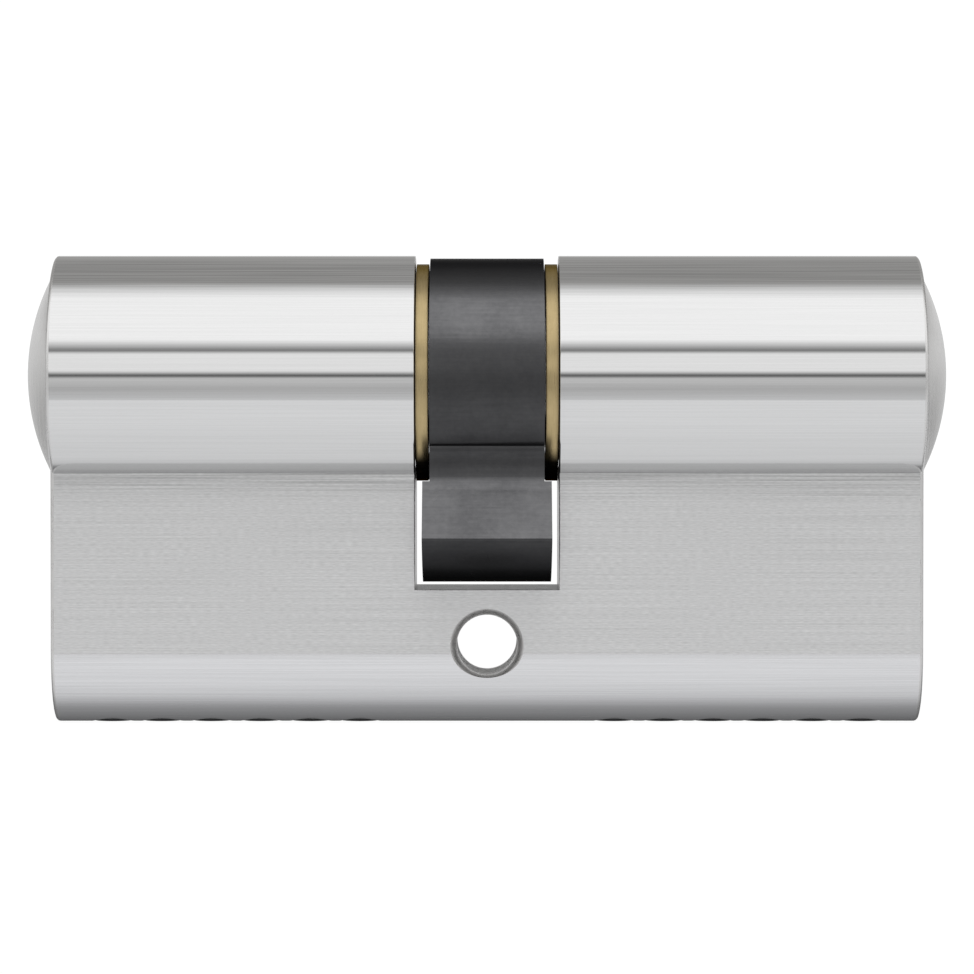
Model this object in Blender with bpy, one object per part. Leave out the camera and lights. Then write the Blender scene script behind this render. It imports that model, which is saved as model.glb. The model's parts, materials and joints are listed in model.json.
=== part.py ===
"""Double lock cylinder of the European profile, built as the pieces it comes apart into.

Units in the named sizes are millimetres and degrees.  +X runs along the cylinder, +Z is up
and the two flat sides of the web look along -Y and +Y.  The origin is the centre of the
fixing screw hole.  Each piece is modelled around the barrel's axis, and AXIS_HEIGHT lifts it.
"""
import math

import bmesh
import bpy
from mathutils import Matrix

MM = 0.001

# Housing
PROFILE_HEIGHT = 33.0
BARREL_DIAMETER = 17.0
WEB_WIDTH = 10.0
HALF_LENGTH = 30.5
END_CHAMFER = 0.25
SCREW_HOLE_ABOVE_BOTTOM = 5.6
SCREW_HOLE_DIAMETER = 4.24
SCREW_HOLE_CHAMFER = 0.46

# Slot across the middle, and the cam that turns in it
SLOT_WIDTH = 10.1
SLOT_DEPTH = 15.0
CAM_RING_DIAMETER = 16.6
CAM_TILT = 26.0
LUG_SIDE_GAP = 0.55
LUG_TIP_RADIUS = 14.85
LUG_TIP_ANGLE = 14.0
LUG_NECK_RADIUS = 10.67
LUG_NECK_ANGLE = 14.9
LUG_ROOT_ANGLE = 28.4
LUG_SHOULDER_RADIUS = 9.9
LUG_CORNER_BEVEL = 0.12

# Plugs
PLUG_DIAMETER = 13.0
HEAD_DIAMETER = 15.0
HEAD_DEPTH = 1.45
DOME_HEIGHT = 2.0
NOSE_DIAMETER = 10.0
NOSE_LENGTH = 1.5
NOSE_TIP = 1.8
KEYWAY_WIDTH = 2.0
KEYWAY_TOP = 3.9
KEYWAY_BOTTOM = -4.6
KEYWAY_WARD = 0.42
# Height up the keyway as a share of it, and the side that its middle steps over to there
KEYWAY_LEVELS = ((0.0, 1), (0.24, 1), (0.33, -1), (0.56, -1), (0.65, 1), (1.0, 1))

# Retaining clips
CLIP_THICKNESS = 0.87
CLIP_DIAMETER = 15.8
CLIP_GROOVE_DEPTH = 1.0
CLIP_OPENING = 40.0

# Pins, springs and chamber plugs
PIN_COUNT = 6
PIN_PITCH = 3.5
FIRST_PIN_FROM_SLOT = 3.95
PIN_DIAMETER = 2.64
KEY_PIN_SHORTEST = 4.75
KEY_PIN_STEP = 0.35
KEY_CODE = (2, 4, 1, 3, 0, 2)
KEY_PIN_TIP = 0.95
KEY_PIN_LIFT = 1.2
DRIVER_LENGTH = 5.6
PIN_EDGE = 0.28
PIN_FOOT_EDGE = 0.476
WIRE_DIAMETER = 0.42
SPRING_TURNS = 5
CHAMBER_PLUG_DIAMETER = 3.0
CHAMBER_PLUG_LENGTH = 2.6
CHAMBER_PLUG_RECESS = 0.06

# Clutch
CLUTCH_TRAVEL = 1.3
TONGUE_WIDTH = 2.0
TONGUE_INSIDE_RIM = 0.7
EAR_WIDTH = 2.4
EAR_REACH = 1.05

# Clearances
TURNING_GAP = 0.05
LOOSE_GAP = 0.1
SEAT_GAP = 0.05
CLIP_SIDE_GAP = 0.09
CEILING_GAP = 0.3

# Facets
ROUND_STEPS = 48
BARREL_STEPS = 60
DOME_STEPS = 5
PIN_STEPS = 12
COIL_STEPS = 8
WIRE_SIDES = 4
ARC_STEPS = 6
SHARP_ANGLE = 30.0
SAME_POINT = 0.0001

# Worked out from the sizes above
BARREL_RADIUS = BARREL_DIAMETER / 2
WEB_BOTTOM = BARREL_RADIUS - PROFILE_HEIGHT
AXIS_HEIGHT = -WEB_BOTTOM - SCREW_HOLE_ABOVE_BOTTOM
SLOT_FACE = SLOT_WIDTH / 2
LUG_FACE = SLOT_FACE - LUG_SIDE_GAP
CAM_FACE = SLOT_FACE - CLIP_THICKNESS - 2 * CLIP_SIDE_GAP
CAM_RADIUS = CAM_RING_DIAMETER / 2
PLUG_RADIUS = PLUG_DIAMETER / 2
HEAD_RADIUS = HEAD_DIAMETER / 2
HEAD_FACE = HALF_LENGTH - HEAD_DEPTH
NOSE_RADIUS = NOSE_DIAMETER / 2
BORE_RADIUS = PLUG_RADIUS + TURNING_GAP
CAM_BORE_RADIUS = NOSE_RADIUS + LOOSE_GAP
NOSE_ROOT = NOSE_TIP + NOSE_LENGTH
TONGUE_SLOT_END = NOSE_TIP + CLUTCH_TRAVEL
CLIP_FACE = CAM_FACE + CLIP_SIDE_GAP
CLIP_BACK = CLIP_FACE + CLIP_THICKNESS
GROOVE_RADIUS = PLUG_RADIUS - CLIP_GROOVE_DEPTH
PIN_RADIUS = PIN_DIAMETER / 2
CHAMBER_RADIUS = PIN_RADIUS + LOOSE_GAP
KEY_PIN_BOTTOM = -PLUG_RADIUS + SEAT_GAP
KEY_PIN_LONGEST = KEY_PIN_SHORTEST + KEY_PIN_STEP * max(KEY_CODE)
CHAMBER_CEILING = KEY_PIN_BOTTOM + KEY_PIN_LONGEST + KEY_PIN_LIFT + CEILING_GAP
DRIVER_TOP = -BORE_RADIUS - SEAT_GAP
DRIVER_BOTTOM = DRIVER_TOP - DRIVER_LENGTH
CHAMBER_PLUG_BOTTOM = WEB_BOTTOM + CHAMBER_PLUG_RECESS
CHAMBER_PLUG_TOP = CHAMBER_PLUG_BOTTOM + CHAMBER_PLUG_LENGTH
CHAMBER_PLUG_RADIUS = CHAMBER_PLUG_DIAMETER / 2
WIRE_RADIUS = WIRE_DIAMETER / 2
COIL_RADIUS = CHAMBER_RADIUS - LOOSE_GAP - 2 * SEAT_GAP - WIRE_RADIUS
CLUTCH_RADIUS = NOSE_RADIUS - LOOSE_GAP
CLUTCH_START = -NOSE_TIP + LOOSE_GAP
CLUTCH_DISC = (2 * NOSE_TIP - CLUTCH_TRAVEL - LOOSE_GAP) / 2 - SEAT_GAP
TONGUE_LENGTH = CLUTCH_TRAVEL - SEAT_GAP

# How far a cutter runs past what it cuts
BEYOND = 4.0

ALONG_Z = Matrix.Rotation(math.radians(-90), 4, 'Y')
ALONG_Y = Matrix.Rotation(math.radians(90), 4, 'Z')
UPRIGHT = Matrix.Identity(4)


def clear_scene():
    """Remove whatever objects the file opened with."""
    for old in list(bpy.data.objects):
        bpy.data.objects.remove(old, do_unlink=True)


def make_material(name, colour, roughness, metallic=1.0):
    """A Principled material with the finish of one kind of piece."""
    material = bpy.data.materials.new(name)
    material.use_nodes = True
    shader = material.node_tree.nodes["Principled BSDF"]
    shader.inputs["Base Color"].default_value = (*colour, 1.0)
    shader.inputs["Roughness"].default_value = roughness
    shader.inputs["Metallic"].default_value = metallic
    return material


def mesh_from(bm, name, material=None, turn=UPRIGHT):
    """Close a bmesh whose sizes are millimetres into a mesh in metres."""
    bmesh.ops.remove_doubles(bm, verts=bm.verts[:], dist=SAME_POINT)
    bmesh.ops.transform(bm, matrix=Matrix.Scale(MM, 4) @ turn, verts=bm.verts[:])
    bmesh.ops.recalc_face_normals(bm, faces=bm.faces[:])
    mesh = bpy.data.meshes.new(name)
    bm.to_mesh(mesh)
    bm.free()
    mesh.shade_smooth()
    mesh.set_sharp_from_angle(angle=math.radians(SHARP_ANGLE))
    if material:
        mesh.materials.append(material)
    return mesh


def place(name, mesh, x=0.0, turned_about=False):
    """Stand a mesh on the barrel's axis, turned about when it belongs to the outer side."""
    piece = bpy.data.objects.new(name, mesh)
    bpy.context.scene.collection.objects.link(piece)
    piece.location = (x * MM, 0.0, AXIS_HEIGHT * MM)
    piece.rotation_euler = (0.0, 0.0, math.pi if turned_about else 0.0)
    return piece


def combine(piece, mesh, operation='DIFFERENCE'):
    """Cut a hidden tool's shape from a piece, or join it on."""
    tool = bpy.data.objects.new(piece.name + "_tool_" + mesh.name, mesh)
    bpy.context.scene.collection.objects.link(tool)
    tool.location = piece.location
    tool.rotation_euler = piece.rotation_euler
    tool.hide_render = True
    tool.display_type = 'WIRE'
    step = piece.modifiers.new(mesh.name, 'BOOLEAN')
    step.operation = operation
    step.solver = 'EXACT'
    step.object = tool


def turned_bm(profile, steps):
    """Spin an outline of (along, radius) points, which starts and ends on the X axis."""
    bm = bmesh.new()
    points = [bm.verts.new((along, 0.0, radius)) for along, radius in profile]
    edges = [bm.edges.new(pair) for pair in zip(points, points[1:])]
    bmesh.ops.spin(bm, geom=points + edges, cent=(0, 0, 0), axis=(1, 0, 0),
                   angle=math.tau, steps=steps, use_merge=True)
    bmesh.ops.remove_doubles(bm, verts=bm.verts[:], dist=SAME_POINT)
    return bm


def extruded_bm(outline, x_low, x_high):
    """Extrude an outline of (y, z) points along X."""
    bm = bmesh.new()
    face = bm.faces.new([bm.verts.new((x_low, y, z)) for y, z in outline])
    grown = bmesh.ops.extrude_face_region(bm, geom=[face])
    moved = [item for item in grown["geom"] if isinstance(item, bmesh.types.BMVert)]
    bmesh.ops.translate(bm, vec=(x_high - x_low, 0, 0), verts=moved)
    return bm


def block_bm(low, high):
    """A box between two corners."""
    return extruded_bm([(low[1], low[2]), (high[1], low[2]), (high[1], high[2]), (low[1], high[2])],
                       low[0], high[0])


def add_shape(bm, other, shift_x=0.0, turn=UPRIGHT):
    """Move one bmesh into another as a separate shell."""
    bmesh.ops.transform(other, matrix=Matrix.Translation((shift_x, 0, 0)) @ turn, verts=other.verts[:])
    shell = bpy.data.meshes.new("shell")
    other.to_mesh(shell)
    other.free()
    bm.from_mesh(shell)
    bpy.data.meshes.remove(shell)


def polar(radius, degrees_from_down):
    """A point (y, z) at a radius from the axis, at an angle from straight down."""
    angle = math.radians(degrees_from_down)
    return (radius * math.sin(angle), -radius * math.cos(angle))


def arc(centre, radius, start, end, steps):
    """Points (y, z) on an arc, with its angles in degrees from straight down."""
    angles = [start + (end - start) * i / steps for i in range(steps + 1)]
    return [(centre[0] + polar(radius, a)[0], centre[1] + polar(radius, a)[1]) for a in angles]


def housing_outline():
    """The keyhole section: a round barrel over a web with a half-round bottom."""
    half_web = WEB_WIDTH / 2
    joint = math.degrees(math.asin(half_web / BARREL_RADIUS))
    bottom_centre = WEB_BOTTOM + half_web
    barrel = arc((0, 0), BARREL_RADIUS, joint, 360 - joint, BARREL_STEPS)
    bottom = arc((0, bottom_centre), half_web, -90, 90, 2 * ARC_STEPS)
    return barrel + bottom


def chamber_positions():
    """Distances of the pin chambers from the middle, nearest the slot first."""
    first = SLOT_FACE + FIRST_PIN_FROM_SLOT
    return [first + PIN_PITCH * i for i in range(PIN_COUNT)]


def build_housing(finish):
    """The housing, with its slot, its plug bore, its screw hole and its pin chambers."""
    bm = extruded_bm(housing_outline(), -HALF_LENGTH + END_CHAMFER, HALF_LENGTH - END_CHAMFER)
    bmesh.ops.recalc_face_normals(bm, faces=bm.faces[:])
    ends = [face for face in bm.faces if abs(face.normal.x) > 0.9]
    for end in ends:
        bmesh.ops.inset_region(bm, faces=[end], thickness=END_CHAMFER, depth=END_CHAMFER,
                               use_even_offset=True)
    housing = place("housing", mesh_from(bm, "housing", finish))

    reach = BARREL_RADIUS + BEYOND
    slot = block_bm((-SLOT_FACE, -reach, -SLOT_DEPTH), (SLOT_FACE, reach, reach))
    combine(housing, mesh_from(slot, "slot"))

    head_bore = HEAD_RADIUS + LOOSE_GAP
    seat = HEAD_FACE - SEAT_GAP
    far = HALF_LENGTH + BEYOND
    bore = turned_bm([(-far, 0), (-far, head_bore), (-seat, head_bore), (-seat, BORE_RADIUS),
                      (seat, BORE_RADIUS), (seat, head_bore), (far, head_bore), (far, 0)], ROUND_STEPS)
    combine(housing, mesh_from(bore, "bore"))

    hole = SCREW_HOLE_DIAMETER / 2
    side = WEB_WIDTH / 2
    mouth = hole + SCREW_HOLE_CHAMFER + BEYOND
    screw = turned_bm([(-side - BEYOND, 0), (-side - BEYOND, mouth), (-side + SCREW_HOLE_CHAMFER, hole),
                       (side - SCREW_HOLE_CHAMFER, hole), (side + BEYOND, mouth), (side + BEYOND, 0)],
                      ROUND_STEPS)
    drop = Matrix.Translation((0, 0, -AXIS_HEIGHT)) @ ALONG_Y
    combine(housing, mesh_from(screw, "screw_hole", turn=drop))

    wide = CHAMBER_PLUG_RADIUS + SEAT_GAP
    shelf = CHAMBER_PLUG_TOP + SEAT_GAP
    inside_bore = -BORE_RADIUS / 2
    chambers = bmesh.new()
    for x in chamber_positions():
        for shift in (-x, x):
            one = turned_bm([(WEB_BOTTOM - BEYOND, 0), (WEB_BOTTOM - BEYOND, wide), (shelf, wide),
                             (shelf, CHAMBER_RADIUS), (inside_bore, CHAMBER_RADIUS),
                             (inside_bore, 0)], PIN_STEPS)
            add_shape(chambers, one, shift, ALONG_Z)
    combine(housing, mesh_from(chambers, "chambers"))


def plug_profile():
    """Outline of one plug from its nose, inside the cam, to the top of its domed head."""
    dome_radius = (HEAD_RADIUS ** 2 + DOME_HEIGHT ** 2) / (2 * DOME_HEIGHT)
    sweep = math.asin(HEAD_RADIUS / dome_radius)
    centre = HALF_LENGTH + DOME_HEIGHT - dome_radius
    dome = []
    for i in range(DOME_STEPS + 1):
        angle = sweep * (1 - i / DOME_STEPS)
        dome.append((centre + dome_radius * math.cos(angle), dome_radius * math.sin(angle)))
    return [(NOSE_TIP, 0), (NOSE_TIP, NOSE_RADIUS), (NOSE_ROOT, NOSE_RADIUS), (NOSE_ROOT, PLUG_RADIUS),
            (CLIP_FACE - SEAT_GAP, PLUG_RADIUS), (CLIP_FACE - SEAT_GAP, GROOVE_RADIUS),
            (CLIP_BACK + SEAT_GAP, GROOVE_RADIUS), (CLIP_BACK + SEAT_GAP, PLUG_RADIUS),
            (HEAD_FACE, PLUG_RADIUS), (HEAD_FACE, HEAD_RADIUS), *dome]


def keyway_outline():
    """The warded slot for the key: upright, with its sides stepping over and back."""
    height = KEYWAY_TOP - KEYWAY_BOTTOM
    middle = [(KEYWAY_WARD * way, KEYWAY_BOTTOM + height * share) for share, way in KEYWAY_LEVELS]
    right = [(y + KEYWAY_WIDTH / 2, z) for y, z in middle]
    left = [(y - KEYWAY_WIDTH / 2, z) for y, z in middle]
    return right + left[::-1]


def build_plug(side, turned_about, finish):
    """One plug: the part that the key turns, with its keyway, chambers and clutch slot."""
    plug = place(side + "_plug", mesh_from(turned_bm(plug_profile(), ROUND_STEPS), side + "_plug", finish),
                 turned_about=turned_about)
    keyway = extruded_bm(keyway_outline(), NOSE_TIP - BEYOND, HALF_LENGTH + BEYOND)
    combine(plug, mesh_from(keyway, "keyway"))

    half = TONGUE_WIDTH / 2 + LOOSE_GAP
    slot = block_bm((NOSE_TIP - BEYOND, -half, -PLUG_RADIUS), (TONGUE_SLOT_END, half, PLUG_RADIUS))
    combine(plug, mesh_from(slot, "tongue_slot"))

    chambers = bmesh.new()
    for x in chamber_positions():
        one = turned_bm([(-PLUG_RADIUS - BEYOND, 0), (-PLUG_RADIUS - BEYOND, CHAMBER_RADIUS),
                         (CHAMBER_CEILING, CHAMBER_RADIUS), (CHAMBER_CEILING, 0)], PIN_STEPS)
        add_shape(chambers, one, x, ALONG_Z)
    combine(plug, mesh_from(chambers, "chambers"))


def build_clip(side, turned_about, finish):
    """The open spring ring that keeps a plug from being pulled out of the housing."""
    inner = GROOVE_RADIUS + LOOSE_GAP
    outer = CLIP_DIAMETER / 2
    corners = [(CLIP_FACE, inner), (CLIP_BACK, inner), (CLIP_BACK, outer), (CLIP_FACE, outer)]
    bm = bmesh.new()
    face = bm.faces.new([bm.verts.new((x, 0, -radius)) for x, radius in corners])
    start = Matrix.Rotation(math.radians(CLIP_OPENING / 2), 4, 'X')
    bmesh.ops.transform(bm, matrix=start, verts=bm.verts[:])
    bmesh.ops.spin(bm, geom=[face], cent=(0, 0, 0), axis=(1, 0, 0),
                   angle=math.radians(360 - CLIP_OPENING), steps=ROUND_STEPS - ARC_STEPS)
    place(side + "_clip", mesh_from(bm, side + "_clip", finish), turned_about=turned_about)


def cam_outline():
    """Ring and lug seen along the axis, with the lug straight down and a hollow on each flank."""
    corner = math.degrees(LUG_CORNER_BEVEL / LUG_TIP_RADIUS)
    tip = arc((0, 0), LUG_TIP_RADIUS, -LUG_TIP_ANGLE + corner, LUG_TIP_ANGLE - corner, ARC_STEPS)
    low = polar(LUG_TIP_RADIUS - LUG_CORNER_BEVEL, LUG_TIP_ANGLE)
    neck = polar(LUG_NECK_RADIUS, LUG_NECK_ANGLE)
    root = polar(CAM_RADIUS, LUG_ROOT_ANGLE)
    flank_slope = math.atan2(neck[1] - low[1], neck[0] - low[0])
    chord_slope = math.atan2(root[1] - neck[1], root[0] - neck[0])
    half_turn = chord_slope - flank_slope
    chord = math.dist(neck, root)
    hollow_radius = chord / (2 * abs(math.sin(half_turn)))
    hollow = []
    for i in range(ARC_STEPS + 1):
        part = i / ARC_STEPS
        length = 2 * hollow_radius * abs(math.sin(half_turn * part))
        slope = flank_slope + half_turn * part
        hollow.append((neck[0] + length * math.cos(slope), neck[1] + length * math.sin(slope)))
    flank = [low] + hollow
    mirrored = [(-y, z) for y, z in flank]
    ring = arc((0, 0), CAM_RADIUS, LUG_ROOT_ANGLE, 360 - LUG_ROOT_ANGLE, ROUND_STEPS)
    return tip + flank + ring[1:-1] + mirrored[::-1]


def build_cam(finish):
    """The cam: a ring over both plug noses and the lug that throws the bolt."""
    tilt = Matrix.Rotation(math.radians(-CAM_TILT), 4, 'X')
    bm = extruded_bm(cam_outline(), -LUG_FACE, LUG_FACE)
    cam = place("cam", mesh_from(bm, "cam", finish, turn=tilt))

    reliefs = bmesh.new()
    far = LUG_FACE + BEYOND
    for low, high in ((-far, -CAM_FACE), (CAM_FACE, far)):
        disc = turned_bm([(low, 0), (low, LUG_SHOULDER_RADIUS), (high, LUG_SHOULDER_RADIUS), (high, 0)],
                         ROUND_STEPS)
        add_shape(reliefs, disc)
    combine(cam, mesh_from(reliefs, "side_reliefs"))

    step = NOSE_ROOT - LOOSE_GAP
    reach = CLUTCH_RADIUS + EAR_REACH + LOOSE_GAP
    half = EAR_WIDTH / 2 + LOOSE_GAP
    ways = block_bm((-step - LOOSE_GAP, -reach, -half), (step + LOOSE_GAP, reach, half))
    combine(cam, mesh_from(ways, "ear_slots", turn=tilt))

    wide = PLUG_RADIUS + LOOSE_GAP
    bore = turned_bm([(-far, 0), (-far, wide), (-step, wide), (-step, CAM_BORE_RADIUS),
                      (step, CAM_BORE_RADIUS), (step, wide), (far, wide), (far, 0)], ROUND_STEPS)
    combine(cam, mesh_from(bore, "bore"))


def ear_outline():
    """A disc with an ear on each side, which slide in the cam's two slots."""
    half = EAR_WIDTH / 2
    reach = CLUTCH_RADIUS + EAR_REACH
    rise = math.degrees(math.acos(half / CLUTCH_RADIUS))
    right = arc((0, 0), CLUTCH_RADIUS, 180 - rise, 180 + rise, 2 * ARC_STEPS)
    left = arc((0, 0), CLUTCH_RADIUS, -rise, rise, 2 * ARC_STEPS)
    return right + [(-reach, half), (-reach, -half)] + left + [(reach, -half), (reach, half)]


def build_clutch(name, x_low, x_high, tongue_from, tongue_to, finish):
    """One half of the clutch: an eared disc with the tongue that enters a plug's nose."""
    tilt = Matrix.Rotation(math.radians(-CAM_TILT), 4, 'X')
    disc = extruded_bm(ear_outline(), x_low, x_high)
    clutch = place(name, mesh_from(disc, name, finish, turn=tilt))
    half = TONGUE_WIDTH / 2
    tall = CLUTCH_RADIUS - TONGUE_INSIDE_RIM
    tongue = block_bm((tongue_from, -half, -tall), (tongue_to, half, tall))
    combine(clutch, mesh_from(tongue, "tongue"), 'UNION')


def pin_mesh(name, bottom, top, tip, finish):
    """A pin with broken edges at its bottom, and a pointed or a plain top."""
    tip_radius = PIN_RADIUS - tip
    profile = [(bottom, 0), (bottom, PIN_RADIUS - PIN_FOOT_EDGE), (bottom + PIN_EDGE, PIN_RADIUS),
               (top - tip, PIN_RADIUS), (top, tip_radius), (top, 0)]
    return mesh_from(turned_bm(profile, PIN_STEPS), name, finish, turn=ALONG_Z)


def spring_mesh(finish):
    """A coil of round wire from the chamber plug up to the driver."""
    low = CHAMBER_PLUG_TOP + SEAT_GAP + WIRE_RADIUS
    high = DRIVER_BOTTOM - SEAT_GAP - WIRE_RADIUS
    steps = SPRING_TURNS * COIL_STEPS
    bm = bmesh.new()
    section = bmesh.ops.create_circle(bm, cap_ends=True, segments=WIRE_SIDES, radius=WIRE_RADIUS)
    upright = Matrix.Translation((COIL_RADIUS, 0, low)) @ Matrix.Rotation(math.radians(90), 4, 'X')
    bmesh.ops.transform(bm, matrix=upright, verts=section["verts"])
    bmesh.ops.spin(bm, geom=bm.faces[:], cent=(0, 0, 0), axis=(0, 0, 1),
                   dvec=(0, 0, (high - low) / steps), angle=math.tau * SPRING_TURNS, steps=steps)
    return mesh_from(bm, "spring", finish)


def build_pin_stacks(pin_finish, spring_finish, plug_finish):
    """Key pin, driver, spring and chamber plug of every chamber, counted from the face inwards."""
    driver = pin_mesh("driver", DRIVER_BOTTOM, DRIVER_TOP, PIN_EDGE, pin_finish)
    spring = spring_mesh(spring_finish)
    profile = [(CHAMBER_PLUG_BOTTOM, 0), (CHAMBER_PLUG_BOTTOM, CHAMBER_PLUG_RADIUS),
               (CHAMBER_PLUG_TOP, CHAMBER_PLUG_RADIUS), (CHAMBER_PLUG_TOP, 0)]
    stopper = mesh_from(turned_bm(profile, PIN_STEPS), "chamber_plug", plug_finish, turn=ALONG_Z)
    for count, cut in enumerate(KEY_CODE, start=1):
        top = KEY_PIN_BOTTOM + KEY_PIN_SHORTEST + KEY_PIN_STEP * cut
        key_pin = pin_mesh(f"key_pin_{count}", KEY_PIN_BOTTOM, top, KEY_PIN_TIP, pin_finish)
        distance = chamber_positions()[PIN_COUNT - count]
        for side, x in (("outer", -distance), ("inner", distance)):
            place(f"{side}_key_pin_{count}", key_pin, x)
            place(f"{side}_driver_{count}", driver, x)
            place(f"{side}_spring_{count}", spring, x)
            place(f"{side}_chamber_plug_{count}", stopper, x)


def build_lock():
    """Every piece of the lock cylinder, from the housing to the smallest pin."""
    clear_scene()
    nickel = make_material("satin_nickel", (0.70, 0.69, 0.67), 0.3)
    plug_nickel = make_material("plug_nickel", (0.74, 0.73, 0.71), 0.25)
    black = make_material("cam_black", (0.035, 0.035, 0.037), 0.35)
    brass = make_material("clip_brass", (0.66, 0.55, 0.32), 0.35)
    pin_brass = make_material("pin_brass", (0.78, 0.62, 0.30), 0.25)
    steel = make_material("spring_steel", (0.62, 0.62, 0.63), 0.3)
    dark = make_material("chamber_plug_dark", (0.06, 0.06, 0.06), 0.5)
    sintered = make_material("clutch_steel", (0.36, 0.36, 0.37), 0.45)

    build_housing(nickel)
    for side, turned_about in (("outer", True), ("inner", False)):
        build_plug(side, turned_about, plug_nickel)
        build_clip(side, turned_about, brass)
    build_cam(black)

    split = CLUTCH_START + CLUTCH_DISC
    build_clutch("outer_clutch", CLUTCH_START, split, CLUTCH_START - TONGUE_LENGTH,
                 CLUTCH_START + CLUTCH_DISC / 2, sintered)
    second = split + SEAT_GAP
    end = second + CLUTCH_DISC
    build_clutch("inner_clutch", second, end, end - CLUTCH_DISC / 2, end + TONGUE_LENGTH, sintered)
    build_pin_stacks(pin_brass, steel, dark)


build_lock()
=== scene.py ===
# %% [markdown]
# # A double lock cylinder, piece by piece
#
# This is the cylinder that slides into a mortise lock and takes a key from both sides. The packed
# model fixes where each piece sits and how it turns, so it is loaded first and never moved. The
# cells below make a finer piece for each of its parts, give each one its metal, and light it.

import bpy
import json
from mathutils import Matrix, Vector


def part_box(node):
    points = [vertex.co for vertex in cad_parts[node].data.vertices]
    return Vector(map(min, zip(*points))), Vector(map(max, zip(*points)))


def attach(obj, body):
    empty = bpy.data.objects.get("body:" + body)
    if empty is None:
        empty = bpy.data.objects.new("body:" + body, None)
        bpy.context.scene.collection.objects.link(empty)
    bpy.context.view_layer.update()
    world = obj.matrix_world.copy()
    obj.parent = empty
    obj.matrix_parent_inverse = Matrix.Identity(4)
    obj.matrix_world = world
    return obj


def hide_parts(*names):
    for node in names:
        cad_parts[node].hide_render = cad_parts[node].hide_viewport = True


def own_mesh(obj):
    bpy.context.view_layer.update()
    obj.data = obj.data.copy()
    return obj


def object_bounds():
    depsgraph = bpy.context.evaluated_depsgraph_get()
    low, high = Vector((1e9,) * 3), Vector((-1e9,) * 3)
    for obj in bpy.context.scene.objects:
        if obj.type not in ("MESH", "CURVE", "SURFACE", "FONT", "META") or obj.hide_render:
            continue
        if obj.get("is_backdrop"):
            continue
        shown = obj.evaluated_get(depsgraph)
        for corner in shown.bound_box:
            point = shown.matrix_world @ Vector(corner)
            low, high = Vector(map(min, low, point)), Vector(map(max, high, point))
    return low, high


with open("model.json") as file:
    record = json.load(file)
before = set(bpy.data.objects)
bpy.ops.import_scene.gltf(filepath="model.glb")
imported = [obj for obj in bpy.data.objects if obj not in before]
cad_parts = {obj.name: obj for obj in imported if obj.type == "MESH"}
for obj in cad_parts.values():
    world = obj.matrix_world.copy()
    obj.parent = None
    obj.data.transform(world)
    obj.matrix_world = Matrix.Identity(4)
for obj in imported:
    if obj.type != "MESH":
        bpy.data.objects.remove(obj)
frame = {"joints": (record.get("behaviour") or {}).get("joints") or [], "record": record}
cad_low, cad_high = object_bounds()

# %% [markdown]
# ## Where things are
#
# The small sizes are easier to think about in millimetres around the barrel's axis, so every shape
# is drawn there, and one matrix takes it to its place in metres. The axis comes from the joint
# that the cam turns on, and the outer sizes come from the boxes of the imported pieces.

# %% Sizes from the frame
import json
import math

import bmesh
import bpy
from mathutils import Matrix, Vector

MM = 0.001
RECORD = frame["record"]
BODY_OF = {node: body for body, nodes in RECORD["behaviour"]["bodies"].items() for node in nodes}
AXIS_HEIGHT = next(j for j in frame["joints"] if j["name"] == "cam_turn")["pos_m"][2]


def around_axis(node):
    """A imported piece's lowest and highest corners, in millimetres around the barrel's axis."""
    lift = Vector((0, 0, AXIS_HEIGHT))
    return [(corner - lift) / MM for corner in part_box(node)]


housing_low, housing_high = around_axis("housing")
BARREL_RADIUS = housing_high.y
HALF_LENGTH = housing_high.x
WEB_BOTTOM = housing_low.z
HALF_WEB = 5.0
ROUND_CENTRE = WEB_BOTTOM + HALF_WEB
print(f"barrel {2 * BARREL_RADIUS:.1f} mm, length {2 * HALF_LENGTH:.1f} mm, bottom at {WEB_BOTTOM:.1f} mm")

# %% [markdown]
# ## Four ways to make a machined shape
#
# A lock is made of turned pieces and milled pieces. A turned piece is its half section spun round
# the axis, and a milled one is an outline extruded along it. Where a cutter passes through, the
# quickest honest way is the one the workshop uses: make the cutter as a solid and subtract it.
# Bevels come before the holes, because a bevel likes clean edges.

# %% Outlines and solids
UPRIGHT = Matrix.Rotation(math.radians(-90), 4, 'Y')
CROSSWISE = Matrix.Rotation(math.radians(90), 4, 'Z')
SAME_POINT = 0.0002
BEYOND = 4.0


def polar(radius, angle):
    """A point (y, z) at an angle in degrees from straight down."""
    return (radius * math.sin(math.radians(angle)), -radius * math.cos(math.radians(angle)))


def arc(centre, radius, start, end, steps):
    """Points (y, z) along an arc."""
    angles = [start + (end - start) * i / steps for i in range(steps + 1)]
    return [(centre[0] + polar(radius, a)[0], centre[1] + polar(radius, a)[1]) for a in angles]


def turned(profile, steps=96):
    """Spin a half section of (along, radius) points round the X axis."""
    bm = bmesh.new()
    points = [bm.verts.new((along, 0, radius)) for along, radius in profile]
    edges = [bm.edges.new(pair) for pair in zip(points, points[1:])]
    bmesh.ops.spin(bm, geom=points + edges, cent=(0, 0, 0), axis=(1, 0, 0),
                   angle=math.tau, steps=steps, use_merge=True)
    bmesh.ops.remove_doubles(bm, verts=bm.verts[:], dist=SAME_POINT)
    bmesh.ops.recalc_face_normals(bm, faces=bm.faces[:])
    return bm


def milled(outline, low, high):
    """Extrude an outline of (y, z) points along X."""
    bm = bmesh.new()
    face = bm.faces.new([bm.verts.new((low, y, z)) for y, z in outline])
    grown = bmesh.ops.extrude_face_region(bm, geom=[face])
    far = [item for item in grown["geom"] if isinstance(item, bmesh.types.BMVert)]
    bmesh.ops.translate(bm, vec=(high - low, 0, 0), verts=far)
    bmesh.ops.recalc_face_normals(bm, faces=bm.faces[:])
    return bm


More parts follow.
